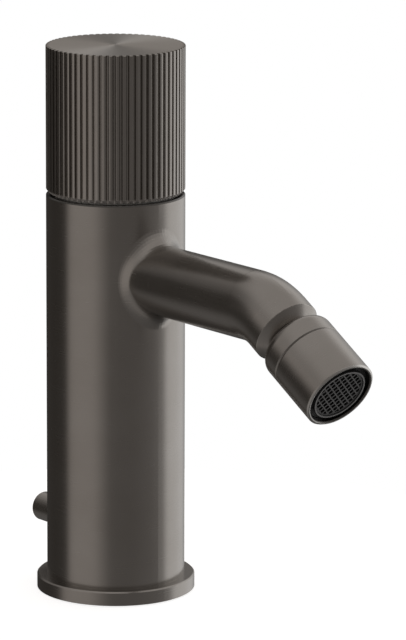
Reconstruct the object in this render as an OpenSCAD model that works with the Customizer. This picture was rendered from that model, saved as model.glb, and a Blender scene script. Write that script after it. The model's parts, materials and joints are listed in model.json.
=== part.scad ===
// Deck-mounted bidet mixer: upright round body, fluted turning knob, side spout with a
// ball-jointed aerator and a rear pull pin for the pop-up waste. Millimetres.
// The origin is the centre of the base flange's underside, +Z is up, the spout points along +X.

/* [Base and body] */
// Outside diameter of the upright body
body_d = 44; // [40:0.5:48]
// Thickness of the body's wall in its lower half
body_wall = 4.4; // [3.8:0.1:5]
// Height of the body's top rim above the deck
body_top = 128.2; // [110:0.1:160]
// Chamfer round the body's top rim
body_edge = 0.4; // [0.2:0.1:0.8]
// Outside diameter of the base flange
flange_d = 50.5; // [46:0.5:60]
// Height of the base flange
flange_h = 4.5; // [4:0.1:6]
// Chamfer round the flange's top edge
flange_edge = 0.4; // [0.2:0.1:1]
// Step from the body's outside to the locating spigot under it
spigot_step = 3; // [2:0.1:3.4]
// Length of that spigot
spigot_l = 3; // [2:0.1:3.4]
// Width of the seal's groove, midway across the flange's underside
seal_w = 2.6; // [1.8:0.1:3]
// Depth of the seal's groove
seal_h = 1.6; // [1.2:0.1:2]

/* [Spout] */
// Distance from the body's top rim down to the spout's axis
spout_drop = 24.2; // [21.6:0.1:32]
// Outside diameter of the spout's tube
spout_d = 22; // [19.5:0.5:24]
// Diameter of the waterway in the spout
spout_bore = 16; // [14:0.1:17.6]
// Distance from the body's axis to the corner where the spout's two axes cross
spout_reach = 75.5; // [60:0.5:110]
// Radius of the bend along the tube's axis
bend_r = 22.5; // [18:0.5:24]
// Angle by which the spout's end points below the horizontal
tip_drop = 30.5; // [25:0.5:36]
// Distance from the corner to the end of the tube
spout_end = 10.75; // [9.6:0.05:14]
// Radius of the blend where the spout leaves the body
root_fillet = 6; // [4:0.5:7]
// Steps of the blend around the spout
root_steps = 64; // [32:4:72]
// Steps of the blend across its curve
root_rows = 9; // [6:1:12]

/* [Swivel end] */
// Outside diameter of the swivel end
swivel_d = 23.7; // [21.4:0.1:27]
// Open distance between the tube and the swivel end
swivel_gap = 4.25; // [3.8:0.05:5]
// Round on the swivel end's shoulder
swivel_round = 3; // [2:0.1:3.2]
// Length of the upper cap, down to the fine seam
cap_l = 7.9; // [7.1:0.1:10]
// Length of the lower sleeve
sleeve_l = 17.5; // [15.8:0.1:24]
// Chamfer at the sleeve's open end
rim_edge = 0.45; // [0.3:0.05:0.6]
// Chamfer at the inner edge of the sleeve's open end
mouth_edge = 0.3; // [0.2:0.05:0.4]
// Chamfer on each side of the fine seam
seam_edge = 0.35; // [0.1:0.05:0.4]
// Wall of the cap round the ball's socket
socket_wall = 2.33; // [2:0.01:2.8]
// Distance from the cap's top to the ball's centre
ball_down = 5; // [4.5:0.1:5.4]
// Distance below the ball's centre at which the ball is cut off
ball_cut = 5.5; // [5:0.1:6]
// Diameter of the waterway through the ball
ball_bore = 8.6; // [6:0.2:9]
// Steepness of the cone between the tube and the ball, from the axis
neck_angle = 47; // [46:1:60]
// Step from the ball's radius to the waist above it
waist_in = 2.1; // [1.9:0.1:3.2]
// Length of the nipple's spigot inside the tube
nipple_l = 4; // [3.6:0.1:4.4]
// Wall of the liner round the ball
liner_wall = 0.6; // [0.4:0.05:0.7]
// Height of the liner
liner_h = 3.6; // [2.6:0.1:3.8]
// Wall of the sleeve round the aerator
sleeve_wall = 1.25; // [1:0.05:1.6]
// Distance from the seam to the aerator's washer
washer_down = 5.4; // [4.8:0.1:6]
// Thickness of that washer
washer_h = 1.5; // [1:0.1:2]
// Diameter of the hole in the ball's seat and in the washer
seat_hole = 13; // [11:0.2:13.4]
// Depth of the black groove round the aerator's ring
groove_depth = 2.2; // [1.6:0.1:3]
// Diameter of the ring round the aerator's screen
screen_ring_d = 18; // [16:0.1:19.6]
// Wall of that ring
screen_ring_wall = 0.5; // [0.4:0.1:0.8]
// Spacing of the screen's bars
screen_pitch = 1.75; // [1.6:0.05:2.4]
// Width of a bar
screen_bar = 0.42; // [0.3:0.02:0.6]

/* [Knob] */
// Outside diameter of the knob over its lands
knob_d = 44; // [40:0.2:50]
// Height of the knob
knob_h = 46.7; // [40:0.1:60]
// Open gap between the body and the knob
knob_gap = 0.6; // [0.4:0.1:1.2]
// Number of flutes
flutes = 65; // [48:1:72]
// Radius of the crowned land between two flutes
land_r = 2.2; // [1.8:0.1:4]
// Width of a flute's groove at the knob's surface
flute_w = 1.04; // [0.7:0.02:1.2]
// Depth of a flute's groove
flute_depth = 0.95; // [0.6:0.05:1.1]
// Width of the groove where its walls end
flute_mid = 0.84; // [0.5:0.02:0.9]
// Height of that place over the groove's floor
flute_rise = 0.32; // [0.2:0.02:0.4]
// Width of the groove's floor
flute_floor = 0.4; // [0.2:0.02:0.5]
// Chamfer at the knob's lower edge, measured inwards
knob_foot_in = 1; // [0.7:0.1:1.2]
// Chamfer at the knob's lower edge, measured upwards
knob_foot_up = 1.1; // [0.7:0.1:1.6]
// Chamfer at the knob's top edge
knob_edge = 0.2; // [0.1:0.1:1]
// Wall of the knob over its lands
knob_wall = 2.6; // [2:0.1:3]
// Thickness of the knob's top
knob_roof = 4.5; // [3.5:0.1:5]
// Diameter of the boss that holds the knob's hub
boss_d = 22; // [20:0.5:26]
// Open distance between the cartridge nut and that boss
boss_gap = 4; // [2:0.5:6]
// Diameter of the hub
hub_d = 13; // [12:0.2:14]
// Diameter of the grub screw
grub_d = 4.8; // [4:0.1:5]
// Height of the glide ring's shoulder inside the knob
glide_h = 3.2; // [2:0.1:5]

/* [Collector and cartridge] */
// Distance from the spout's axis down to the ledge that carries the collector
ledge_down = 26; // [24:0.5:34]
// Wall of the lock ring
lock_wall = 2.4; // [1.8:0.1:2.6]
// Height of the lock ring
lock_h = 5.4; // [4:0.1:6]
// Depth below the rim at which the lock ring ends
lock_down = 0.8; // [0.6:0.1:1.2]
// Depth of the seals' grooves in the collector
ring_depth = 2; // [1.8:0.1:2.2]
// Width of those grooves
ring_w = 2.8; // [2.4:0.1:3.2]
// Thickness of the collector's seals
ring_d = 1.94; // [1.7:0.02:1.94]
// Distance of the lower seal below the spout's axis
ring_down = 16; // [14:0.5:18]
// Distance of the upper seal above the spout's axis
ring_up = 13; // [12:0.5:13.5]
// Height of the water groove round the collector
water_h = 12; // [10:0.5:16]
// Depth of that groove
water_depth = 2.4; // [1.6:0.1:2.6]
// Diameter of the port from the groove to the mixed water's way
port_d = 6.4; // [5:0.1:7]
// Depth of the cup for the cartridge
cup_l = 27; // [25:0.5:30]
// Height of the cartridge above its seat
cart_l = 22; // [20.5:0.5:24]
// Thickness of the gasket
gasket_h = 0.6; // [0.4:0.1:1]
// Thickness of the cartridge's floor
floor_h = 3; // [2:0.1:4]
// Thickness of the stem's foot
foot_h = 3; // [2:0.1:4]
// Height of the nut's hexagon
nut_h = 4; // [3:0.1:6]
// Diameter of the cartridge's seat
seat_d = 25; // [22.6:0.1:27.4]
// Height of the cartridge's seat above the spout's axis
seat_up = 10; // [9:0.1:11]
// Thickness of each ceramic disc
disc_h = 3; // [2.4:0.1:3.2]
// Diameter of the ceramic discs
disc_d = 20.4; // [19.6:0.1:20.6]
// Diameter of the turning stem
stem_d = 8; // [7.4:0.1:8.4]
// Diameter of the two inlet ways
inlet_way = 4.4; // [3.6:0.1:4.6]
// Diameter of the mixed water's way
outlet_way = 5.2; // [4:0.1:5.6]
// Distance of the inlet ways from the axis
way_out = 6.2; // [6:0.1:6.6]
// Distance of the mixed water's way from the axis
mixed_out = 5.5; // [5:0.1:6]
// Width across the flats of the cartridge nut
nut_flats = 24; // [23:0.5:26]

/* [Fixings under the base] */
// Hole for an M10 fine hose tail, at the bottom of the thread
inlet_d = 9.2; // [8.8:0.1:9.4]
// Depth of the hose tail's thread
inlet_depth = 12; // [10:0.5:14]
// Distance of each hose tail from the middle plane
inlet_off = 8.5; // [8.2:0.1:9]
// Hole for the M8 fixing stud, at the bottom of the thread
stud_d = 6.8; // [6.6:0.1:7]
// Distance from the body's inner wall to the stud's axis
stud_in = 6.1; // [5.5:0.1:6.6]
// Distance of the hose tails behind the body's axis
inlet_back = 1.5; // [1:0.1:2]
// Height of the two lugs inside the base
lug_top = 12; // [10:0.5:13]

/* [Pull pin] */
// Height of the pull pin's axis above the deck, at rest
pin_z = 18; // [17:0.5:30]
// Diameter of the pull pin's head
pin_d = 9.4; // [7:0.2:12]
// Distance from the body's axis to the pin's end
pin_reach = 39; // [34:0.5:50]
// Travel of the pull pin
lift = 10; // [6:0.5:10]
// Diameter of the lift rod
rod_d = 5; // [4.6:0.1:5.2]
// Gap between the lift rod and the body's inner wall
rod_gap = 2.1; // [1.8:0.1:2.6]
// Wall of the rod's bush
bush_wall = 1.5; // [1:0.1:2]
// Diameter of the pull pin's neck in the body's slot
pin_neck = 4.8; // [4:0.1:5.6]
// Diameter of the pin's tail in the rod
pin_tail = 2.9; // [2.4:0.1:3.2]
// Length of the rod inside the collector, at rest
rod_in = 6; // [4:0.5:8]
// Hole for an M4 linkage screw in the rod's lower end
rod_socket = 3.3; // [3:0.1:3.4]

/* [Fits] */
// Clearance between fixed pieces that fit together
fit = 0.1; // [0.06:0.01:0.14]
// Clearance between turning or sliding pieces
run = 0.06; // [0.03:0.01:0.1]
// Open gap between moving pieces that don't touch
clear = 0.5; // [0.4:0.05:0.7]

/* [Hidden] */
$fn = 96;

body_r = body_d / 2;
spout_r = spout_d / 2;
knob_r = knob_d / 2;
flange_r = flange_d / 2;

// Inside of the body
lower_bore = body_r - body_wall;
upper_bore = lower_bore + 0.9;
spout_z = body_top - spout_drop;
ledge_z = spout_z - ledge_down;
spigot_z = flange_h - spigot_l;
spigot_r = body_r - spigot_step;
seal_mid = (spigot_r + fit + flange_r) / 2;
stud_x = lower_bore - stud_in;
rod_x = lower_bore - rod_gap - rod_d / 2;

// Collector heights
seat_z = spout_z + seat_up;
lock_top = body_top - lock_down;
lock_z = lock_top - lock_h;
cup_top = seat_z + cup_l;
collector_r = upper_bore - fit;
cup_r = collector_r - lock_wall;
ring_r = ring_d / 2;
ring_low = spout_z - ring_down;
ring_high = spout_z + ring_up;

// Cartridge stack
floor_z = seat_z + gasket_h;
disc_low = floor_z + floor_h;
disc_high = disc_low + disc_h;
foot_z = disc_high + disc_h;
cart_r = seat_d / 2 - fit;
cart_hollow = disc_d / 2 + 0.4;
cart_roof = foot_z + foot_h + 0.4;
cart_top = seat_z + cart_l;
nut_top = cup_top + nut_h;

// Knob heights
knob_hollow = knob_r - knob_wall;
knob_z = body_top + knob_gap;
knob_top = knob_z + knob_h;
roof_z = knob_top - knob_roof;
boss_z = nut_top + boss_gap;
hub_z = boss_z + clear;
hub_top = roof_z - clear;
stem_top = roof_z - 4;
grub_z = (boss_z + roof_z) / 2 - 2;
stem_flat = stem_d / 2 - 0.6;

// Pull pin and rod
rod_low = 0.6;
rod_top = ledge_z + rod_in;
rod_hole_top = rod_top + lift + 3 * clear;
bush_d = rod_d + 2 * bush_wall;
slot_w = pin_neck + 0.7;

// Spout's end: distances along the tilted axis from the corner
bend_back = bend_r * tan(tip_drop / 2);
bend_x = spout_reach - bend_back;
root_sink = 0.05;
bend_step = 0.03;
bend_lap = 0.4;
neck_r = spout_r - fit;
cap_s = spout_end + swivel_gap;
ball_s = cap_s + ball_down;
seam_s = cap_s + cap_l;
rim_s = seam_s + sleeve_l;
swivel_r = swivel_d / 2;
socket_r = swivel_r - socket_wall;
liner_out = socket_r - run;
liner_in = liner_out - liner_wall;
ball_r = liner_in - run;
waist_r = ball_r - waist_in;
neck_l = (neck_r - waist_r) / tan(neck_angle);
seat_low = seam_s + washer_down;
cage_s = seat_low + washer_h;
chamber_r = swivel_r - sleeve_wall;
cage_r = chamber_r - fit;
groove_s = rim_s - groove_depth;
ring_out = screen_ring_d / 2;
ring_in = ring_out - screen_ring_wall;
cage_floor = 1.7;

gun = [0.33, 0.31, 0.29];
brass = [0.72, 0.60, 0.36];
steel = [0.62, 0.62, 0.63];
black = [0.06, 0.06, 0.06];
white = [0.88, 0.87, 0.84];
clay = [0.90, 0.89, 0.86];

// Carries its children to the tilted axis of the spout's end, with +Z pointing out of it
module at_tip() {
    translate([spout_reach, 0, spout_z])
        rotate([0, 90 + tip_drop, 0])
            children();
}

// A plain turned ring
module ring(r_out, r_in, z, h) {
    translate([0, 0, z])
        rotate_extrude()
            translate([r_in, 0])
                square([r_out - r_in, h]);
}

// A round seal with its section's centre at height z
module o_ring(r_mid, r_sec, z) {
    translate([0, 0, z])
        rotate_extrude()
            translate([r_mid, 0])
                circle(r = r_sec);
}

// A box in the half plane of a turned piece, from radius a to b and height c to d
module band(a, b, c, d) {
    translate([a, c])
        square([b - a, d - c]);
}

// The spout's run as a solid rod of radius r that starts at x0. The bend is a hair thinner than the
// two straight lengths and starts inside them, so that no two faces lie on each other.
module spout_run(r, x0, end) {
    translate([x0, 0, spout_z])
        rotate([0, 90, 0])
            cylinder(r = r, h = bend_x + bend_lap - x0);
    translate([bend_x, 0, spout_z - bend_r])
        rotate([0, -90, -90])
            rotate_extrude(angle = tip_drop)
                translate([bend_r, 0])
                    circle(r = r - bend_step);
    at_tip()
        translate([0, 0, bend_back - bend_lap])
            cylinder(r = r, h = end - bend_back + bend_lap);
}

// Blend at the spout's root: a ball of radius root_fillet rolls round the crossing of the two
// cylinders. Each step a holds the ball's centre and the arc between its two touching points,
// which lie a hair under the surfaces so that the blend's edge crosses them cleanly.
function ball_at(a) =
    let (q = spout_r + root_fillet - root_sink)
    [sqrt(pow(body_r + root_fillet - root_sink, 2) - pow(q * sin(a), 2)), q * sin(a), q * cos(a)];
function on_spout(a, r) = [ball_at(a).x, r * sin(a), r * cos(a)];
function on_body(a, r) =
    let (c = ball_at(a), k = r / (body_r + root_fillet - root_sink))
    [c.x * k, c.y * k, c.z];
function in_corner(a) =
    let (r = spout_r - 0.6)
    [sqrt(pow(body_r - 0.7, 2) - pow(r * sin(a), 2)), r * sin(a), r * cos(a)];
function arc_point(a, t) =
    let (c = ball_at(a),
        u = (on_spout(a, spout_r - root_sink) - c) / root_fillet,
        w = (on_body(a, body_r - root_sink) - c) / root_fillet,
        o = acos(u * w))
    c + root_fillet * (sin((1 - t) * o) * u + sin(t * o) * w) / sin(o);
function blend_row(a) = concat(
    [on_spout(a, spout_r - 0.6)],
    [for (j = [0:root_rows]) arc_point(a, j / root_rows)],
    [on_body(a, body_r - 0.7)],
    [in_corner(a)]);

module root_blend() {
    cols = root_rows + 4;
    points = [for (i = [0:root_steps - 1]) each blend_row(i * 360 / root_steps)];
    faces = [for (i = [0:root_steps - 1], j = [0:cols - 1])
        let (i2 = (i + 1) % root_steps,
            j2 = (j + 1) % cols,
            p = i * cols + j,
            q = i * cols + j2,
            r = i2 * cols + j2,
            s = i2 * cols + j)
        each [[p, q, r], [p, r, s]]];
    translate([0, 0, spout_z])
        polyhedron(points = points, faces = faces, convexity = 6);
}

module base_flange() {
    hole = spigot_r + fit;
    color(gun)
        difference() {
            rotate_extrude()
                polygon([[hole, 0], [flange_r, 0], [flange_r, flange_h - flange_edge],
                    [flange_r - flange_edge, flange_h], [hole, flange_h]]);
            ring(seal_mid + seal_w / 2, seal_mid - seal_w / 2, -1, seal_h + 1);
        }
}

module base_seal() {
    color(black)
        ring(seal_mid + seal_w / 2 - fit, seal_mid - seal_w / 2 + fit, 0, seal_h - fit);
}

// The two lugs inside the base that carry the stud and the rod's bush
module lugs() {
    for (p = [[stud_x, stud_d / 2 + 2.4, 1], [-rod_x, bush_d / 2 + 1.4, -1]]) {
        translate([p.x, 0, spigot_z])
            cylinder(r = p.y, h = lug_top - spigot_z);
        translate([p.x + p.z * 5, 0, (spigot_z + lug_top) / 2])
            cube([10, p.y * 1.6, lug_top - spigot_z], center = true);
    }
}

module body_shell() {
    color(gun)
        difference() {
            union() {
                translate([0, 0, spigot_z])
                    cylinder(r = spigot_r, h = spigot_l + 1);
                translate([0, 0, flange_h])
                    rotate_extrude()
                        polygon([[0, 0], [body_r, 0],
                            [body_r, body_top - flange_h - body_edge],
                            [body_r - body_edge, body_top - flange_h], [0, body_top - flange_h]]);
                spout_run(spout_r, 0, spout_end);
                root_blend();
            }
            difference() {
                translate([0, 0, spigot_z - 1])
                    cylinder(r = lower_bore, h = ledge_z - spigot_z + 2);
                lugs();
            }
            translate([0, 0, ledge_z])
                cylinder(r = upper_bore, h = body_top);
            spout_run(spout_bore / 2, lower_bore - 4, spout_end + 1);
            translate([stud_x, 0, 0])
                cylinder(d = stud_d, h = lug_top + 1);
            translate([-rod_x, 0, 0])
                cylinder(d = bush_d + 2 * fit, h = lug_top + 1);
            for (z = [pin_z, pin_z + lift])
                translate([-lower_bore + 3, 0, z])
                    rotate([0, -90, 0])
                        cylinder(d = slot_w, h = body_wall + 6);
            translate([-body_r - 3, -slot_w / 2, pin_z])
                cube([body_wall + 6, slot_w, lift]);
        }
}

module collector() {
    color(brass)
        difference() {
            union() {
                translate([0, 0, ledge_z])
                    cylinder(r = collector_r, h = lock_z - ledge_z);
                translate([0, 0, lock_z - 1])
                    cylinder(r = cup_r, h = cup_top - lock_z + 1);
            }
            for (z = [ring_low, ring_high])
                ring(collector_r + 1, collector_r - ring_depth, z - ring_w / 2, ring_w);
            ring(collector_r + 1, collector_r - water_depth, spout_z - water_h / 2, water_h);
            translate([0, 0, seat_z])
                cylinder(d = seat_d, h = cup_top);
            translate([mixed_out, 0, spout_z])
                cylinder(d = outlet_way, h = seat_up + 1);
            translate([0, 0, spout_z])
                rotate([0, 90, 0])
                    cylinder(d = port_d, h = collector_r + 1);
            for (s = [-1, 1]) {
                translate([0, s * way_out, ledge_z + inlet_depth / 2])
                    cylinder(d = inlet_way, h = seat_z - ledge_z);
                translate([-inlet_back, s * inlet_off, ledge_z - 1])
                    cylinder(d = inlet_d, h = inlet_depth + 1);
            }
            translate([-rod_x, 0, ledge_z - 1])
                cylinder(d = rod_d + 2 * run, h = rod_hole_top - ledge_z + 1);
        }
}

module collector_seals() {
    color(black)
        for (z = [ring_low, ring_high])
            o_ring(collector_r - ring_r, ring_r, z);
}

module lock_ring() {
    color(brass)
        difference() {
            ring(collector_r, cup_r + fit, lock_z, lock_top - lock_z);
            for (a = [0, 180])
                rotate(a)
                    translate([cup_r - 1, -1.5, lock_top - 2])
                        cube([4, 3, 3]);
        }
}

module glide_ring() {
    color(white)
        union() {
            ring(collector_r, cup_r + fit, lock_top, body_top - lock_top);
            ring(knob_hollow - run, cup_r + fit, body_top, glide_h);
        }
}

// The three waterways of the cartridge's flat pieces
module ways(d_in, d_out, z, h) {
    for (s = [-1, 1])
        translate([0, s * way_out, z])
            cylinder(d = d_in, h = h);
    translate([mixed_out, 0, z])
        cylinder(d = d_out, h = h);
}

module cartridge_gasket() {
    color(black)
        difference() {
            translate([0, 0, seat_z])
                cylinder(r = cart_r - 0.1, h = gasket_h);
            ways(inlet_way + 0.4, outlet_way + 0.4, seat_z - 1, gasket_h + 2);
        }
}

module cartridge_base() {
    color(white)
        difference() {
            translate([0, 0, floor_z])
                cylinder(r = cart_r, h = floor_h);
            ways(inlet_way - 0.4, outlet_way - 0.2, floor_z - 1, floor_h + 2);
        }
}

module fixed_disc() {
    color(clay)
        difference() {
            translate([0, 0, disc_low])
                cylinder(d = disc_d, h = disc_h);
            ways(inlet_way - 0.4, outlet_way - 0.2, disc_low - 1, disc_h + 2);
        }
}

// The turning disc's underside has a bent pocket that joins the ways beneath it
module moving_disc() {
    color(clay)
        difference() {
            translate([0, 0, disc_high])
                cylinder(d = disc_d, h = disc_h);
            for (a = [0:30:90])
                rotate(a)
                    translate([way_out - 0.3, 0, disc_high - 1])
                        cylinder(d = inlet_way, h = disc_h / 2 + 1);
        }
}

module cartridge_stem() {
    color(brass)
        difference() {
            union() {
                translate([0, 0, foot_z])
                    cylinder(d = disc_d - 1.4, h = foot_h);
                translate([0, 0, foot_z + foot_h])
                    cylinder(d = stem_d, h = stem_top - foot_z - foot_h);
            }
            translate([-stem_flat - 10, -10, hub_z - 1])
                cube([10, 20, stem_top]);
        }
}

module cartridge_body() {
    color(white)
        difference() {
            translate([0, 0, disc_low])
                cylinder(r = cart_r, h = cart_top - disc_low);
            translate([0, 0, disc_low - 1])
                cylinder(r = cart_hollow, h = cart_roof - disc_low + 1);
            translate([0, 0, disc_low])
                cylinder(d = stem_d + 2 * run, h = cart_top);
        }
}

module cartridge_nut() {
    color(brass)
        difference() {
            union() {
                translate([0, 0, cart_top])
                    cylinder(r = seat_d / 2 - fit, h = cup_top - cart_top);
                translate([0, 0, cup_top])
                    linear_extrude(nut_top - cup_top)
                        circle(r = nut_flats / sqrt(3), $fn = 6);
            }
            translate([0, 0, cart_top - 1])
                cylinder(d = stem_d + 9, h = nut_top);
        }
}

// Outline of the knob: crowned lands side by side, a tapered groove between each two
module fluted_outline() {
    mid = knob_r - land_r;
    half = 180 / flutes;
    valley = mid * cos(half) + sqrt(pow(land_r, 2) - pow(mid * sin(half), 2));
    floor_r = knob_r - flute_depth;
    draft = (flute_w - flute_mid) / (flute_depth - flute_rise);
    open_w = flute_w + draft;
    difference() {
        union() {
            circle(r = valley - 0.15);
            for (i = [0:flutes - 1])
                rotate((i + 0.5) * 360 / flutes)
                    translate([mid, 0])
                        circle(r = land_r);
        }
        for (i = [0:flutes - 1])
            rotate(i * 360 / flutes)
                polygon([[floor_r, -flute_floor / 2], [floor_r + flute_rise, -flute_mid / 2],
                    [knob_r + 1, -open_w / 2], [knob_r + 1, open_w / 2],
                    [floor_r + flute_rise, flute_mid / 2], [floor_r, flute_floor / 2]]);
    }
}

module knob_shell() {
    foot = knob_foot_up / knob_foot_in;
    color(gun)
        difference() {
            translate([0, 0, knob_z])
                intersection() {
                    linear_extrude(knob_h)
                        fluted_outline();
                    rotate_extrude()
                        polygon([[0, 0], [knob_r - knob_foot_in, 0],
                            [knob_r + 1, foot * (knob_foot_in + 1)],
                            [knob_r + 1, knob_h - knob_edge - 1],
                            [knob_r - knob_edge, knob_h], [0, knob_h]]);
                }
            difference() {
                translate([0, 0, knob_z - 1])
                    cylinder(r = knob_hollow, h = roof_z - knob_z + 1);
                translate([0, 0, boss_z])
                    cylinder(d = boss_d, h = knob_top - boss_z);
            }
            translate([0, 0, boss_z - 1])
                cylinder(d = hub_d + fit, h = roof_z - boss_z + 1);
            translate([0, 0, grub_z])
                rotate([0, -90, 0])
                    cylinder(d = grub_d + fit, h = knob_hollow - 2);
            translate([-knob_hollow + 2, 0, grub_z])
                rotate([0, -90, 0])
                    cylinder(d = grub_d - 1, h = 10);
        }
}

module knob_hub() {
    color(black)
        difference() {
            translate([0, 0, hub_z])
                cylinder(d = hub_d, h = hub_top - hub_z);
            difference() {
                translate([0, 0, hub_z - 1])
                    cylinder(d = stem_d + fit, h = hub_top - hub_z);
                translate([-stem_flat - fit / 2 - 10, -10, hub_z - 2])
                    cube([10, 20, hub_top]);
            }
            translate([0, 0, grub_z])
                rotate([0, -90, 0])
                    cylinder(d = grub_d + fit, h = hub_d);
        }
}

module grub_screw() {
    tip = stem_flat + 0.08;
    color(steel)
        difference() {
            translate([-tip, 0, grub_z])
                rotate([0, -90, 0])
                    cylinder(d = grub_d, h = boss_d / 2 - tip - 0.4);
            translate([-boss_d / 2 + 2.4, 0, grub_z])
                rotate([0, -90, 0])
                    cylinder(d = 2.9, h = 5, $fn = 6);
        }
}

module pull_pin() {
    head_x = body_r + clear;
    edge = 0.5;
    color(gun)
        translate([0, 0, pin_z])
            rotate([0, -90, 0])
                rotate_extrude()
                    polygon([[0, rod_x - rod_d / 2], [pin_tail / 2, rod_x - rod_d / 2],
                        [pin_tail / 2, rod_x + rod_d / 2 + 0.1],
                        [pin_neck / 2, rod_x + rod_d / 2 + 0.1], [pin_neck / 2, head_x],
                        [pin_d / 2 - edge, head_x], [pin_d / 2, head_x + edge],
                        [pin_d / 2, pin_reach - edge], [pin_d / 2 - edge, pin_reach],
                        [0, pin_reach]]);
}

module lift_rod() {
    color(steel)
        difference() {
            translate([-rod_x, 0, rod_low])
                cylinder(d = rod_d, h = rod_top - rod_low);
            translate([0, 0, pin_z])
                rotate([0, -90, 0])
                    cylinder(d = pin_tail + fit, h = body_r);
            translate([-rod_x, 0, rod_low - 1])
                cylinder(d = rod_socket, h = 10);
        }
}

module rod_bush() {
    color(white)
        translate([-rod_x, 0, 0])
            ring(bush_d / 2, rod_d / 2 + run, spigot_z, lug_top - spigot_z);
}

module ball_nipple() {
    back = spout_end - nipple_l;
    color(gun)
        at_tip()
            rotate_extrude()
                difference() {
                    union() {
                        band(0, spout_bore / 2 - fit, back, spout_end);
                        polygon([[0, spout_end], [neck_r, spout_end],
                            [waist_r, spout_end + neck_l], [0, spout_end + neck_l]]);
                        intersection() {
                            translate([0, ball_s])
                                circle(r = ball_r);
                            band(0, swivel_d, spout_end + 1, ball_s + ball_cut);
                        }
                    }
                    band(-1, ball_bore / 2, back - 1, ball_s + swivel_d);
                    band(spout_bore / 2 - 1.5, spout_bore, back + 1, back + 2.8);
                }
}

module nipple_seal() {
    color(black)
        at_tip()
            o_ring(spout_bore / 2 - 0.74, 0.7, spout_end - nipple_l + 1.9);
}

module ball_liner() {
    color(white)
        at_tip()
            rotate_extrude()
                intersection() {
                    difference() {
                        translate([0, ball_s])
                            circle(r = liner_out);
                        translate([0, ball_s])
                            circle(r = liner_in);
                    }
                    band(0, swivel_d, ball_s - liner_h / 2, ball_s + liner_h / 2);
                }
}

module swivel_cap() {
    corner = swivel_r - swivel_round;
    color(gun)
        at_tip()
            rotate_extrude()
                difference() {
                    union() {
                        band(0, corner, cap_s, seam_s);
                        translate([corner, cap_s + swivel_round])
                            circle(r = swivel_round);
                        polygon([[0, cap_s + swivel_round], [swivel_r, cap_s + swivel_round],
                            [swivel_r, seam_s - seam_edge], [swivel_r - seam_edge, seam_s],
                            [0, seam_s]]);
                    }
                    polygon([[-1, cap_s - 1], [ball_r + 0.67, cap_s - 1],
                        [ball_r - 0.75, cap_s + 0.85], [-1, cap_s + 0.85]]);
                    intersection() {
                        translate([0, ball_s])
                            circle(r = ball_r + 0.32);
                        band(-1, swivel_d, cap_s - 1, cap_s + 1.5);
                    }
                    intersection() {
                        translate([0, ball_s])
                            circle(r = socket_r);
                        band(-1, swivel_d, cap_s + 1.4, ball_s);
                    }
                    band(-1, socket_r, ball_s, ball_s + 1);
                    band(-1, chamber_r - 0.35, ball_s + 0.4, seam_s + 1);
                }
}

module swivel_sleeve() {
    color(gun)
        at_tip()
            rotate_extrude()
                difference() {
                    union() {
                        band(0, chamber_r - 0.35 - fit, ball_s + 0.7, seam_s + 1);
                        polygon([[0, seam_s], [swivel_r - seam_edge, seam_s],
                            [swivel_r, seam_s + seam_edge], [swivel_r, rim_s - rim_edge],
                            [swivel_r - rim_edge, rim_s], [0, rim_s]]);
                    }
                    band(-1, socket_r + 0.08, ball_s, seat_low + 1);
                    band(-1, chamber_r, seat_low, rim_s + 1);
                    polygon([[chamber_r - 1, rim_s - mouth_edge - 1],
                        [chamber_r + mouth_edge + 1, rim_s + 1], [chamber_r - 1, rim_s + 1]]);
                }
}

module ball_seat() {
    color(white)
        at_tip()
            rotate_extrude()
                difference() {
                    band(0, socket_r, ball_s + 3.6, seat_low);
                    translate([0, ball_s])
                        circle(r = liner_in);
                    band(-1, seat_hole / 2, ball_s, seat_low + 1);
                }
}

module aerator_washer() {
    color(black)
        at_tip()
            ring(cage_r - fit, seat_hole / 2, seat_low, washer_h);
}

module aerator_cage() {
    color(black)
        at_tip()
            rotate_extrude()
                difference() {
                    union() {
                        band(0, cage_r, cage_s, groove_s);
                        band(0, ring_out, groove_s - 1, rim_s - 0.3);
                    }
                    band(-1, 5, cage_s - 1, cage_s + 3);
                    band(-1, ring_in, cage_s + cage_floor, rim_s + 1);
                }
}

// A drilled disc that breaks the flow into jets above the screen
module jet_disc() {
    color(black)
        at_tip()
            translate([0, 0, cage_s + cage_floor])
                linear_extrude(2)
                    difference() {
                        circle(r = ring_in - fit);
                        for (k = [1:2], i = [0:6 * k - 1])
                            rotate(i * 60 / k)
                                translate([2.4 * k, 0])
                                    circle(r = 0.7);
                    }
}

// The screen's bars cross at right angles, each family at 45 degrees to the upright plane
module aerator_screen() {
    n = floor(ring_in / screen_pitch);
    hole = screen_pitch - screen_bar;
    color(black)
        at_tip()
            translate([0, 0, rim_s - 1.4])
                linear_extrude(0.6)
                    difference() {
                        circle(r = ring_in - fit);
                        intersection() {
                            circle(r = ring_in - 0.5);
                            rotate(45)
                                for (x = [-n:n], y = [-n:n])
                                    translate([x * screen_pitch, y * screen_pitch])
                                        square(hole, center = true);
                        }
                    }
}

base_flange();
base_seal();
body_shell();
collector();
collector_seals();
lock_ring();
glide_ring();
cartridge_gasket();
cartridge_base();
fixed_disc();
moving_disc();
cartridge_stem();
cartridge_body();
cartridge_nut();
knob_shell();
knob_hub();
grub_screw();
pull_pin();
lift_rod();
rod_bush();
ball_nipple();
nipple_seal();
ball_liner();
swivel_cap();
ball_seat();
swivel_sleeve();
aerator_washer();
aerator_cage();
jet_disc();
aerator_screen();
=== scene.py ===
import json
import math

import bpy
from mathutils import Matrix, Vector

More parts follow.
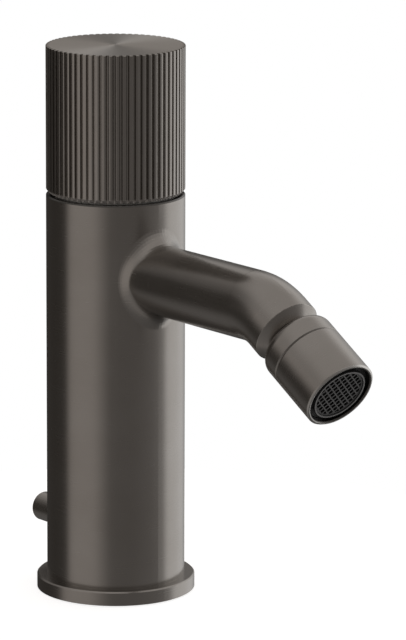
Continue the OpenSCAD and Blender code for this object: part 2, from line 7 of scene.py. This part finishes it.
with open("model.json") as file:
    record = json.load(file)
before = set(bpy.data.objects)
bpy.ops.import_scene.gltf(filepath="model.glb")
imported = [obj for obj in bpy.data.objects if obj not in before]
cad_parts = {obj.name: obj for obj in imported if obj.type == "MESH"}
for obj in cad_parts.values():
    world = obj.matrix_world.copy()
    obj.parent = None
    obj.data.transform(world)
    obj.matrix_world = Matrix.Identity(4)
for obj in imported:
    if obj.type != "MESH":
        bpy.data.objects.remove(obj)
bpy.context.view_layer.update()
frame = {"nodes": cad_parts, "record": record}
nodes = frame["nodes"]

# ---- measures taken over from the part, in metres

SPOUT_END = Vector((0.0755, 0, 0.104))      # where the spout's axis bends down
TIP_DROP = math.radians(30.5)               # how far the tip points down
BODY_TOP = 0.1282
KNOB_FOOT, KNOB_TOP = 0.1288, 0.1755
MOUTH = 0.0404                              # along the tip, from where it bends to its open end
MOUTH_R = 0.0106                            # inside radius of the open end
RING_FACE = MOUTH - 0.0003                  # end face of the ring round the aerator's screen
SCREEN_FACE = MOUTH - 0.0008                # end face of that screen

# where one zone of a finish fades into the next, in metres
SPOUT_LINES = 0.024, 0.032                              # along X
# painted shade along the body's top edge under the knob
UNDER_KNOB_SHADE_ZONE = BODY_TOP - 0.0005, BODY_TOP - 0.0004        # heights
# painted glints where the flutes run out at the knob's foot
FOOT_GLINT_ZONE = KNOB_FOOT + 0.0013, KNOB_FOOT + 0.0008
TOP_LINES = KNOB_TOP - 0.0006, KNOB_TOP - 0.0004
TOP_ZONE = KNOB_TOP - 0.00015, KNOB_TOP - 0.00005
# painted highlight on the rim of the open end
RIM_HIGHLIGHT_ZONE = MOUTH - 0.00045, MOUTH - 0.00035             # along the tip
# painted shade inside the open end
INSIDE_SHADE_ZONE = MOUTH_R + 0.00035, MOUTH_R + 0.00025      # from the tip's axis
# painted light on the end faces in the mouth, fading out behind them
FACE_STARTS, FACE_FULL = 0.00012, 0.00004               # behind an end face in the mouth


def link(obj):
    bpy.context.scene.collection.objects.link(obj)
    return obj


# ---- nodes

class Wiring:
    """Short ways to add nodes to a tree and join them."""

    def __init__(self, tree):
        self.tree = tree

    def add(self, kind, **settings):
        node = self.tree.nodes.new(kind)
        for key, value in settings.items():
            setattr(node, key, value)
        return node

    def join(self, source, target):
        self.tree.links.new(source, target)

    def feed(self, socket, value):
        if isinstance(value, bpy.types.NodeSocket):
            self.join(value, socket)
        else:
            socket.default_value = value

    def math(self, operation, *values):
        node = self.add("ShaderNodeMath", operation=operation)
        for k, value in enumerate(values):
            self.feed(node.inputs[k], value)
        return node.outputs[0]

    def vector(self, operation, *values):
        node = self.add("ShaderNodeVectorMath", operation=operation)
        for k, value in enumerate(values):
            self.feed(node.inputs[k], value)
        return node.outputs["Value" if operation in ("DOT_PRODUCT", "LENGTH") else "Vector"]

    def axes(self, place):
        node = self.add("ShaderNodeSeparateXYZ")
        self.join(place, node.inputs[0])
        return node.outputs

    def spread(self, value, low, high, to_low=0.0, to_high=1.0, smooth=False):
        node = self.add("ShaderNodeMapRange", clamp=True)
        node.interpolation_type = "SMOOTHSTEP" if smooth else "LINEAR"
        for k, number in enumerate((value, low, high, to_low, to_high)):
            self.feed(node.inputs[k], number)
        return node.outputs[0]

    def blend(self, amount, first, second):
        """Mix of two tones."""
        node = self.add("ShaderNodeMix", data_type="RGBA")
        self.feed(node.inputs[0], amount)
        self.feed(node.inputs[6], first)
        self.feed(node.inputs[7], second)
        return node.outputs[2]

    def blend_places(self, amount, first, second):
        node = self.add("ShaderNodeMix", data_type="VECTOR")
        self.feed(node.inputs[0], amount)
        self.feed(node.inputs[4], first)
        self.feed(node.inputs[5], second)
        return node.outputs[1]

    def noise(self, place, scale, detail=2.0, rough=0.5):
        node = self.add("ShaderNodeTexNoise")
        self.feed(node.inputs["Vector"], place)
        self.feed(node.inputs["Scale"], scale)
        node.inputs["Detail"].default_value = detail
        node.inputs["Roughness"].default_value = rough
        return node.outputs[0]


def new_group(name, inputs, outputs):
    """Node group with its wiring, the sockets given to it and the sockets it puts out."""
    group = bpy.data.node_groups.new(name, "ShaderNodeTree")
    for label, kind, value in inputs:
        socket = group.interface.new_socket(name=label, in_out="INPUT", socket_type=kind)
        if value is not None:
            socket.default_value = value
    for label, kind in outputs:
        group.interface.new_socket(name=label, in_out="OUTPUT", socket_type=kind)
    w = Wiring(group)
    return group, w, w.add("NodeGroupInput").outputs, w.add("NodeGroupOutput").inputs


def place_group(w, group, **values):
    node = w.add("ShaderNodeGroup", node_tree=group)
    for label, value in values.items():
        w.feed(node.inputs[label], value)
    return node.outputs


# ---- shared surface effects

CREST_TURN = 0.985, 0.86                    # cosine between a face and its rounded edge
WEAR_PATCHES = 420.0                        # per metre
PATCH_RANGE = 0.34, 0.62                    # of the noise
BRUSH_CLOUDS, MOULD_CLOUDS = 55.0, 90.0     # per metre


def edge_wear_group():
    """Mask that is 1 on the worn crest of an edge and breaks up along it."""
    group, w, given, out = new_group(
        "edge_wear",
        [("Place", "NodeSocketVector", None), ("Radius", "NodeSocketFloat", 0.0004)],
        [("Mask", "NodeSocketFloat")])
    rounded = w.add("ShaderNodeBevel", samples=6)
    w.join(given["Radius"], rounded.inputs["Radius"])
    flat = w.add("ShaderNodeNewGeometry")
    turned = w.vector("DOT_PRODUCT", rounded.outputs[0], flat.outputs["Normal"])
    crest = w.spread(turned, *CREST_TURN)
    patch = w.spread(w.noise(given["Place"], WEAR_PATCHES, 3.0, 0.6), *PATCH_RANGE)
    w.join(w.math("MULTIPLY", crest, patch), out["Mask"])
    return group


def brushing_group():
    """Fine lines and slow clouds of a brushed face; Lines is the place stretched across them."""
    group, w, given, out = new_group(
        "fine_brushing",
        [("Lines", "NodeSocketVector", None), ("Place", "NodeSocketVector", None)],
        [("Streak", "NodeSocketFloat"), ("Cloud", "NodeSocketFloat")])
    w.join(w.noise(given["Lines"], 1.0, 3.0, 0.65), out["Streak"])
    w.join(w.noise(given["Place"], BRUSH_CLOUDS, 3.0, 0.55), out["Cloud"])
    return group


def moulding_group():
    """Fine pebble and slow sink of a moulded face."""
    group, w, given, out = new_group(
        "moulded_skin",
        [("Place", "NodeSocketVector", None), ("Grain", "NodeSocketFloat", 3000.0)],
        [("Pebble", "NodeSocketFloat"), ("Cloud", "NodeSocketFloat")])
    w.join(w.noise(given["Place"], given["Grain"]), out["Pebble"])
    w.join(w.noise(given["Place"], MOULD_CLOUDS), out["Cloud"])
    return group


edge_wear = edge_wear_group()
fine_brushing = brushing_group()
moulded_skin = moulding_group()


# ---- brush lines

# marks per metre along X, Y and Z
TURNED = 60, 60, 4200
DRAWN = 90, 2600, 2600
UPRIGHT = 2600, 2600, 90
ROD = 2600, 2600, 80
SPUN_RINGS = 3600.0                         # per metre of radius


def from_axis(w, place):
    return w.vector("LENGTH", w.vector("MULTIPLY", place, (1, 1, 0)))


def tip_place(w, place):
    """The place in the tip's own axes, its Z along the tip."""
    node = w.add("ShaderNodeVectorRotate", rotation_type="Y_AXIS", invert=True)
    w.join(place, node.inputs["Vector"])
    node.inputs["Center"].default_value = SPOUT_END
    node.inputs["Angle"].default_value = math.radians(90) + TIP_DROP
    return node.outputs[0]


def tip_measures(w, place):
    """How far along the tip a place is, and how far from the tip's axis."""
    own = w.vector("SUBTRACT", tip_place(w, place), tuple(SPOUT_END))
    return w.axes(own)[2], from_axis(w, own)


def turned_lines(w, place):
    return w.vector("MULTIPLY", place, TURNED)


def rod_lines(w, place):
    return w.vector("MULTIPLY", place, ROD)


def tip_lines(w, place):
    return w.vector("MULTIPLY", tip_place(w, place), TURNED)


def body_lines(w, place):
    """Turned lines round the body, and lines drawn along the spout where it leaves the body."""
    on_spout = w.spread(w.axes(place)[0], *SPOUT_LINES)
    return w.blend_places(on_spout, turned_lines(w, place), w.vector("MULTIPLY", place, DRAWN))


def knob_lines(w, place):
    """Rings on the knob's spun top, upright lines on its lands."""
    rings = w.add("ShaderNodeCombineXYZ")
    w.join(w.math("MULTIPLY", from_axis(w, place), SPUN_RINGS), rings.inputs[0])
    on_top = w.spread(w.axes(place)[2], *TOP_LINES)
    return w.blend_places(on_top, w.vector("MULTIPLY", place, UPRIGHT), rings.outputs[0])


# ---- finishes

GUNMETAL = (0.33, 0.309, 0.288)
GUNMETAL_DEEP = (0.305, 0.283, 0.261)
GUNMETAL_WORN = (0.47, 0.445, 0.415)
# the spun top's lighter tone: partly its own spun finish, partly a painted sheen
GUNMETAL_SPUN_SHEEN = (0.4, 0.374, 0.346)
# painted glints at the foot of the knob's flutes
GUNMETAL_FOOT_GLINT = (0.5, 0.475, 0.45)
# painted highlight on the rim of the open end
GUNMETAL_RIM_HIGHLIGHT = (0.56, 0.54, 0.515)
# painted shade, used under the knob and inside the mouth
GUNMETAL_PAINTED_SHADE = (0.1, 0.094, 0.088)
# how much rougher or smoother the coating is there
ON_LINES, WHERE_WORN, ON_TOP, AT_FOOT = 0.03, -0.06, 0.35, 0.4

CLOUD_RANGE = PEBBLE_RANGE = 0.3, 0.7       # of the noise
STREAK_RANGE = 0.25, 0.75
COATING_RELIEF, METAL_RELIEF, MOULD_RELIEF = 0.00002, 0.00003, 0.00004      # metres
COATING_DEPTH = 0.012                       # share of that relief
METAL_WEAR, MOULD_WEAR = 0.0003, 0.0002     # radius of a worn edge, metres


def new_finish(name):
    mat = bpy.data.materials.new(name)
    mat.use_nodes = True
    w = Wiring(mat.node_tree)
    place = w.add("ShaderNodeTexCoord").outputs["Object"]
    return mat, w, mat.node_tree.nodes["Principled BSDF"], place


def relief(w, bsdf, height, strength, distance):
    bump = w.add("ShaderNodeBump")
    bump.inputs["Strength"].default_value = strength
    bump.inputs["Distance"].default_value = distance
    w.join(height, bump.inputs["Height"])
    w.join(bump.outputs[0], bsdf.inputs["Normal"])
    return bump


def knob_top(w, place):
    """Mask of the knob's flat top."""
    return w.spread(w.axes(place)[2], *TOP_ZONE)


def knob_sheen_and_glint_zones(w, place, tone, rough):
    """The spun top, rougher and lighter, its lighter tone partly a painted sheen; and the run-out
    of the flutes at the foot, rougher and lighter, its lighter tone a painted glint.
    """
    top = knob_top(w, place)
    foot_glint = w.spread(w.axes(place)[2], *FOOT_GLINT_ZONE)
    # the spun top lighter: partly its own finish, partly a painted sheen
    tone = w.blend(top, tone, (*GUNMETAL_SPUN_SHEEN, 1))
    # painted glints: the run-out at the foot lighter
    tone = w.blend(foot_glint, tone, (*GUNMETAL_FOOT_GLINT, 1))
    rough = w.math("ADD", rough, w.math("MULTIPLY", top, ON_TOP))
    return tone, w.math("ADD", rough, w.math("MULTIPLY", foot_glint, AT_FOOT))


def body_shade_zones(w, place, tone, rough):
    """Painted shade along the body's top edge under the knob."""
    # painted shade: the top edge darkened where it lies in the shadow of the knob
    edge = w.spread(w.axes(place)[2], *UNDER_KNOB_SHADE_ZONE)
    return w.blend(edge, tone, (*GUNMETAL_PAINTED_SHADE, 1)), rough


def mouth_highlight_and_shade_zones(w, place, tone, rough):
    """Painted highlight on the rim of the open end and painted shade on the inside behind it."""
    along, radius = tip_measures(w, place)
    # painted highlight on the rim
    tone = w.blend(w.spread(along, *RIM_HIGHLIGHT_ZONE), tone, (*GUNMETAL_RIM_HIGHLIGHT, 1))
    # painted shade on the inside behind the rim
    return w.blend(w.spread(radius, *INSIDE_SHADE_ZONE), tone, (*GUNMETAL_PAINTED_SHADE, 1)), rough


def gunmetal(name, lines, rough=0.25, wear=0.0004, zones=None, eased=0.0, spun=0.0):
    """Dark satin coating over brushed metal.

    lines gives the stretched place of its brush lines, zones may change the tone and roughness of
    parts of the piece and paint light and shade into that tone, eased is the round that its sharp
    edges seem to have, and spun the anisotropy of the knob's flat top.
    """
    mat, w, bsdf, place = new_finish(name)
    brush = place_group(w, fine_brushing, Lines=lines(w, place), Place=place)
    worn = place_group(w, edge_wear, Place=place, Radius=wear)["Mask"]
    clouds = w.spread(brush["Cloud"], *CLOUD_RANGE)
    tone = w.blend(clouds, (*GUNMETAL_DEEP, 1), (*GUNMETAL, 1))
    tone = w.blend(worn, tone, (*GUNMETAL_WORN, 1))
    lined = w.spread(brush["Streak"], *STREAK_RANGE, rough - ON_LINES, rough + ON_LINES)
    lined = w.math("ADD", lined, w.math("MULTIPLY", worn, WHERE_WORN))
    if zones:
        tone, lined = zones(w, place, tone, lined)
    bsdf.inputs["Metallic"].default_value = 1.0
    w.join(tone, bsdf.inputs["Base Color"])
    w.join(lined, bsdf.inputs["Roughness"])
    bump = relief(w, bsdf, brush["Streak"], COATING_DEPTH, COATING_RELIEF)
    if eased:
        rounded = w.add("ShaderNodeBevel", samples=12)
        rounded.inputs["Radius"].default_value = eased
        w.join(rounded.outputs[0], bump.inputs["Normal"])
    if spun:
        w.join(w.math("MULTIPLY", knob_top(w, place), spun), bsdf.inputs["Anisotropic"])
        ring = w.add("ShaderNodeTangent", direction_type="RADIAL", axis="Z")
        w.join(ring.outputs[0], bsdf.inputs["Tangent"])
    return mat


def bare_metal(name, lines, low, high, edge, rough, depth, clouds=CLOUD_RANGE):
    """Machined metal without a coating, from its low to its high tone in slow clouds."""
    mat, w, bsdf, place = new_finish(name)
    brush = place_group(w, fine_brushing, Lines=lines(w, place), Place=place)
    worn = place_group(w, edge_wear, Place=place, Radius=METAL_WEAR)["Mask"]
    tone = w.blend(w.spread(brush["Cloud"], *clouds), (*low, 1), (*high, 1))
    w.join(w.blend(worn, tone, (*edge, 1)), bsdf.inputs["Base Color"])
    bsdf.inputs["Metallic"].default_value = 1.0
    w.join(w.spread(brush["Streak"], *STREAK_RANGE, *rough), bsdf.inputs["Roughness"])
    relief(w, bsdf, brush["Streak"], depth, METAL_RELIEF)
    return mat


def moulded(name, low, high, edge, rough, grain, depth, face=None):
    """Moulded plastic, rubber or ceramic; face gives the place and the tone of an end face, a
    painted light tone.
    """
    mat, w, bsdf, place = new_finish(name)
    skin = place_group(w, moulded_skin, Place=place, Grain=grain)
    worn = place_group(w, edge_wear, Place=place, Radius=MOULD_WEAR)["Mask"]
    tone = w.blend(w.spread(skin["Cloud"], *CLOUD_RANGE), (*low, 1), (*high, 1))
    tone = w.blend(worn, tone, (*edge, 1))
    # painted light: the end face lighter than the part behind it
    if face:
        end, lit_face_tone = face
        along, _ = tip_measures(w, place)
        on_lit_face = w.spread(along, end - FACE_STARTS, end - FACE_FULL)
        tone = w.blend(on_lit_face, tone, (*lit_face_tone, 1))
    w.join(tone, bsdf.inputs["Base Color"])
    w.join(w.spread(skin["Pebble"], *PEBBLE_RANGE, *rough), bsdf.inputs["Roughness"])
    relief(w, bsdf, skin["Pebble"], depth, MOULD_RELIEF)
    return mat


body_finish = gunmetal("satin_gunmetal_body", body_lines, zones=body_shade_zones)
turned_finish = gunmetal("satin_gunmetal_turned", turned_lines)
knob_finish = gunmetal("satin_gunmetal_knob", knob_lines, wear=0.00015, zones=knob_sheen_and_glint_zones, spun=0.75)
tip_finish = gunmetal("satin_gunmetal_tip", tip_lines)
sleeve_finish = gunmetal("satin_gunmetal_sleeve", tip_lines, zones=mouth_highlight_and_shade_zones, eased=0.0005)
pin_finish = gunmetal("satin_gunmetal_pin", turned_lines, rough=0.27)
brass_finish = bare_metal(
    "machined_brass", turned_lines, (0.62, 0.46, 0.21), (0.76, 0.6, 0.33), (0.86, 0.72, 0.45),
    rough=(0.22, 0.38), depth=0.15, clouds=(0.3, 0.72))
steel_finish = bare_metal(
    "drawn_steel", rod_lines, (0.55, 0.55, 0.56), (0.65, 0.65, 0.66), (0.78, 0.78, 0.78),
    rough=(0.2, 0.34), depth=0.1)
rubber_finish = moulded(
    "seal_rubber", (0.018, 0.018, 0.019), (0.03, 0.03, 0.03), (0.05, 0.05, 0.05),
    rough=(0.62, 0.8), grain=2400.0, depth=0.3)
white_finish = moulded(
    "white_acetal", (0.8, 0.785, 0.75), (0.86, 0.85, 0.82), (0.9, 0.89, 0.87),
    rough=(0.38, 0.52), grain=3200.0, depth=0.12)
black_finish = moulded(
    "black_acetal", (0.035, 0.035, 0.036), (0.055, 0.055, 0.056), (0.12, 0.12, 0.12),
    rough=(0.3, 0.44), grain=3200.0, depth=0.15)
# painted light on the ring's end face; its lighter edges are partly wear and partly painted
# highlight
cage_painted_light_finish = moulded(
    "aerator_cage_acetal_painted_light", (0.03, 0.03, 0.031), (0.05, 0.05, 0.051), (0.2, 0.2, 0.2),
    rough=(0.3, 0.44), grain=3200.0, depth=0.15, face=(RING_FACE, (0.27, 0.27, 0.27)))
# painted light on the screen bars' end faces, and painted shade, darker than the black acetal, in
# the holes behind them
screen_painted_light_and_shade_finish = moulded(
    "aerator_screen_acetal_painted_light_and_shade", (0.02, 0.02, 0.021), (0.03, 0.03, 0.031), (0.05, 0.05, 0.05),
    rough=(0.3, 0.44), grain=3200.0, depth=0.1, face=(SCREEN_FACE, (0.15, 0.151, 0.152)))
# painted shade: the jet disc is the same black acetal, darkened to stand for the shade deep in the
# mouth
jet_shade_finish = moulded(
    "jet_disc_acetal_painted_shade", (0.006, 0.006, 0.006), (0.01, 0.01, 0.01), (0.016, 0.016, 0.016),
    rough=(0.62, 0.78), grain=3200.0, depth=0.15)
ceramic_finish = moulded(
    "lapped_ceramic", (0.84, 0.83, 0.79), (0.89, 0.88, 0.85), (0.93, 0.92, 0.9),
    rough=(0.12, 0.2), grain=5200.0, depth=0.05)

finish_of_slot = {
    "raw_brass": brass_finish, "plain_steel": steel_finish, "seal_rubber": rubber_finish,
    "white_plastic": white_finish, "black_plastic": black_finish, "disc_ceramic": ceramic_finish,
}
finish_of_node = {
    "base_flange": turned_finish, "body_shell": body_finish, "knob_shell": knob_finish,
    "pull_pin": pin_finish, "ball_nipple": tip_finish, "swivel_cap": tip_finish,
    "swivel_sleeve": sleeve_finish, "aerator_cage": cage_painted_light_finish, "aerator_screen": screen_painted_light_and_shade_finish,
    "jet_disc": jet_shade_finish,
}
for part in frame["record"]["subparts"]:
    name = part["node"]
    finish = finish_of_node.get(name) or finish_of_slot[part["material_slot"]]
    nodes[name].data.materials.clear()
    nodes[name].data.materials.append(finish)


# ---- camera

PICTURE_HEIGHT = 640                        # pixels
FOCAL_LENGTH = 4600                         # in the same pixels
SENSOR_HEIGHT = 36                          # millimetres
CAMERA_TURN, CAMERA_RISE = math.radians(51.315), math.radians(12.69)
CAMERA_LEAN = math.radians(0.22)            # so that the body stands upright in the picture
CAMERA_AIM = Vector((0, 0, 0.08717))
CAMERA_BACK, CAMERA_ASIDE = 1.4601, 0.0277


def place_camera():
    back = Vector((math.sin(CAMERA_TURN) * math.cos(CAMERA_RISE),
                   -math.cos(CAMERA_TURN) * math.cos(CAMERA_RISE),
                   math.sin(CAMERA_RISE)))
    right = Vector((math.cos(CAMERA_TURN), math.sin(CAMERA_TURN), 0))
    up = back.cross(right)
    lens = bpy.data.cameras.new("camera")
    lens.sensor_fit = "VERTICAL"
    lens.sensor_height = SENSOR_HEIGHT
    lens.lens = FOCAL_LENGTH / PICTURE_HEIGHT * SENSOR_HEIGHT
    camera = link(bpy.data.objects.new("camera", lens))
    stand = Matrix.Translation(CAMERA_AIM + back * CAMERA_BACK + right * CAMERA_ASIDE)
    aim = Matrix((right, up, back)).transposed().to_4x4()
    camera.matrix_world = stand @ aim @ Matrix.Rotation(CAMERA_LEAN, 4, "Z")
    bpy.context.scene.camera = camera


# ---- studio: cloths and pale panels round the object, with the white paper between two of them

# angle round the object from the camera's side, left negative, in degrees; brightness
LOW_RING = [
    (-180, (0.07, 0.066, 0.062)), (-166, (0.042, 0.039, 0.036)), (-143, (0.058, 0.053, 0.048)),
    (-90, (0.058, 0.053, 0.048)), (-80, (0.5, 0.472, 0.452)), (-36, (0.5, 0.472, 0.452)),
    (-8, (0.178, 0.168, 0.161)), (30, (0.178, 0.168, 0.161)), (70, (0.24, 0.23, 0.224)),
    (87, (0.42, 0.412, 0.405)), (98, (1.0, 1.0, 1.0)), (127, (0.98, 0.98, 0.98)),
    (149, (0.85, 0.845, 0.84)), (166, (0.38, 0.375, 0.37)), (180, (0.07, 0.066, 0.062)),
]
HIGH_RING = [
    (-180, (0.72, 0.7, 0.685)), (-150, (0.5, 0.483, 0.47)), (-115, (0.2, 0.19, 0.183)),
    (-97, (0.22, 0.21, 0.203)), (-80, (0.4, 0.383, 0.37)), (-55, (0.47, 0.45, 0.435)),
    (-20, (0.34, 0.326, 0.316)), (5, (0.26, 0.25, 0.243)), (45, (0.44, 0.427, 0.418)),
    (75, (0.5, 0.488, 0.48)), (100, (0.7, 0.69, 0.682)), (135, (0.95, 0.945, 0.94)),
    (160, (0.92, 0.905, 0.895)), (180, (0.72, 0.7, 0.685)),
]
FLOOR_RING = [
    (-180, (0.1, 0.097, 0.095)), (-150, (0.17, 0.164, 0.16)), (-110, (0.2, 0.193, 0.188)),
    (-60, (0.34, 0.326, 0.317)), (0, (0.2, 0.193, 0.188)), (60, (0.16, 0.155, 0.151)),
    (110, (0.1, 0.097, 0.094)), (150, (0.07, 0.068, 0.066)), (180, (0.1, 0.097, 0.095)),
]
OVERHEAD = (0.55, 0.53, 0.515)
PAPER = (1, 1, 1)
PAPER_GAP = (92, 97, 138, 150)              # degrees: where the gap onto the paper opens and closes
# sine of the height angle where one of them fades into the next
LOW_TO_HIGH, HIGH_TO_OVERHEAD, LOW_TO_FLOOR = (0.2, 0.52), (0.5, 0.88), (-0.24, -0.56)
GAP_TOP, GAP_FOOT = (0.3, 0.12), (-0.72, -0.55)


def tone_ring(w, angle, stops):
    ramp = w.add("ShaderNodeValToRGB")
    marks = ramp.color_ramp.elements
    while len(marks) > 1:
        marks.remove(marks[-1])
    for k, (degrees, tone) in enumerate(stops):
        mark = marks[0] if k == 0 else marks.new((degrees + 180) / 360)
        mark.position = (degrees + 180) / 360
        mark.color = (*tone, 1)
    w.join(w.spread(angle, -math.pi, math.pi), ramp.inputs[0])
    return ramp.outputs[0]


def studio_world():
    """White for the camera; metal mirrors the panels, and the white in the gap between them."""
    world = bpy.data.worlds.new("studio")
    bpy.context.scene.world = world
    world.use_nodes = True
    world.node_tree.nodes.clear()
    w = Wiring(world.node_tree)
    facing = w.add("ShaderNodeVectorRotate", rotation_type="Z_AXIS")
    w.join(w.add("ShaderNodeTexCoord").outputs["Generated"], facing.inputs["Vector"])
    facing.inputs["Angle"].default_value = -CAMERA_TURN
    aside, away, height = w.axes(facing.outputs[0])
    angle = w.math("ARCTAN2", aside, w.math("MULTIPLY", away, -1.0))

    tone = w.blend(w.spread(height, *LOW_TO_HIGH, smooth=True),
                   tone_ring(w, angle, LOW_RING), tone_ring(w, angle, HIGH_RING))
    tone = w.blend(w.spread(height, *HIGH_TO_OVERHEAD, smooth=True), tone, (*OVERHEAD, 1))
    tone = w.blend(w.spread(height, *LOW_TO_FLOOR, smooth=True),
                   tone, tone_ring(w, angle, FLOOR_RING))
    room = w.add("ShaderNodeBackground")
    w.join(tone, room.inputs["Color"])
    paper = w.add("ShaderNodeBackground")
    paper.inputs["Color"].default_value = (*PAPER, 1)

    opens, wide, narrows, closes = (math.radians(v) for v in PAPER_GAP)
    gap = w.math("MULTIPLY", w.spread(angle, opens, wide), w.spread(angle, closes, narrows))
    gap = w.math("MULTIPLY", gap, w.spread(height, *GAP_TOP))
    gap = w.math("MULTIPLY", gap, w.spread(height, *GAP_FOOT))
    ray = w.add("ShaderNodeLightPath").outputs
    mirrored = w.math("MAXIMUM", ray["Is Glossy Ray"], ray["Is Transmission Ray"])
    sees_paper = w.math("MAXIMUM", ray["Is Camera Ray"], w.math("MULTIPLY", mirrored, gap))
    choose = w.add("ShaderNodeMixShader")
    w.join(sees_paper, choose.inputs[0])
    w.join(room.outputs[0], choose.inputs[1])
    w.join(paper.outputs[0], choose.inputs[2])
    w.join(choose.outputs[0], w.add("ShaderNodeOutputWorld").inputs["Surface"])


FLOOR_R, FLOOR_Z = 0.15, -0.0002            # metres
FLOOR_RINGS, FLOOR_STEPS = 6, 64
BOARD = (0.82, 0.82, 0.82)
BOARD_GLOW = 0.72                           # for the camera alone, so that it fades into the paper


def pale_floor():
    """Round pale board under the object, which keeps the object's soft shadow."""
    verts = [(0, 0, FLOOR_Z)]
    for k in range(1, FLOOR_RINGS + 1):
        radius = FLOOR_R * k / FLOOR_RINGS
        for j in range(FLOOR_STEPS):
            a = 2 * math.pi * j / FLOOR_STEPS
            verts.append((radius * math.cos(a), radius * math.sin(a), FLOOR_Z))
    faces = [(0, 1 + j, 1 + (j + 1) % FLOOR_STEPS) for j in range(FLOOR_STEPS)]
    for k in range(1, FLOOR_RINGS):
        inner, outer = 1 + (k - 1) * FLOOR_STEPS, 1 + k * FLOOR_STEPS
        for j in range(FLOOR_STEPS):
            n = (j + 1) % FLOOR_STEPS
            faces.append((inner + j, outer + j, outer + n, inner + n))
    mesh = bpy.data.meshes.new("floor")
    mesh.from_pydata(verts, [], faces)
    floor = link(bpy.data.objects.new("floor", mesh))

    mat = bpy.data.materials.new("pale_board")
    mat.use_nodes = True
    mat.node_tree.nodes.clear()
    w = Wiring(mat.node_tree)
    board = w.add("ShaderNodeBsdfDiffuse")
    board.inputs["Color"].default_value = (*BOARD, 1)
    paper = w.add("ShaderNodeEmission")
    seen = w.add("ShaderNodeLightPath").outputs["Is Camera Ray"]
    w.join(w.math("MULTIPLY", seen, BOARD_GLOW), paper.inputs["Strength"])
    both = w.add("ShaderNodeAddShader")
    w.join(board.outputs[0], both.inputs[0])
    w.join(paper.outputs[0], both.inputs[1])
    w.join(both.outputs[0], w.add("ShaderNodeOutputMaterial").inputs["Surface"])
    mesh.materials.append(mat)
    floor.visible_glossy = False


place_camera()
bpy.context.scene.view_settings.view_transform = "Standard"
studio_world()
pale_floor()
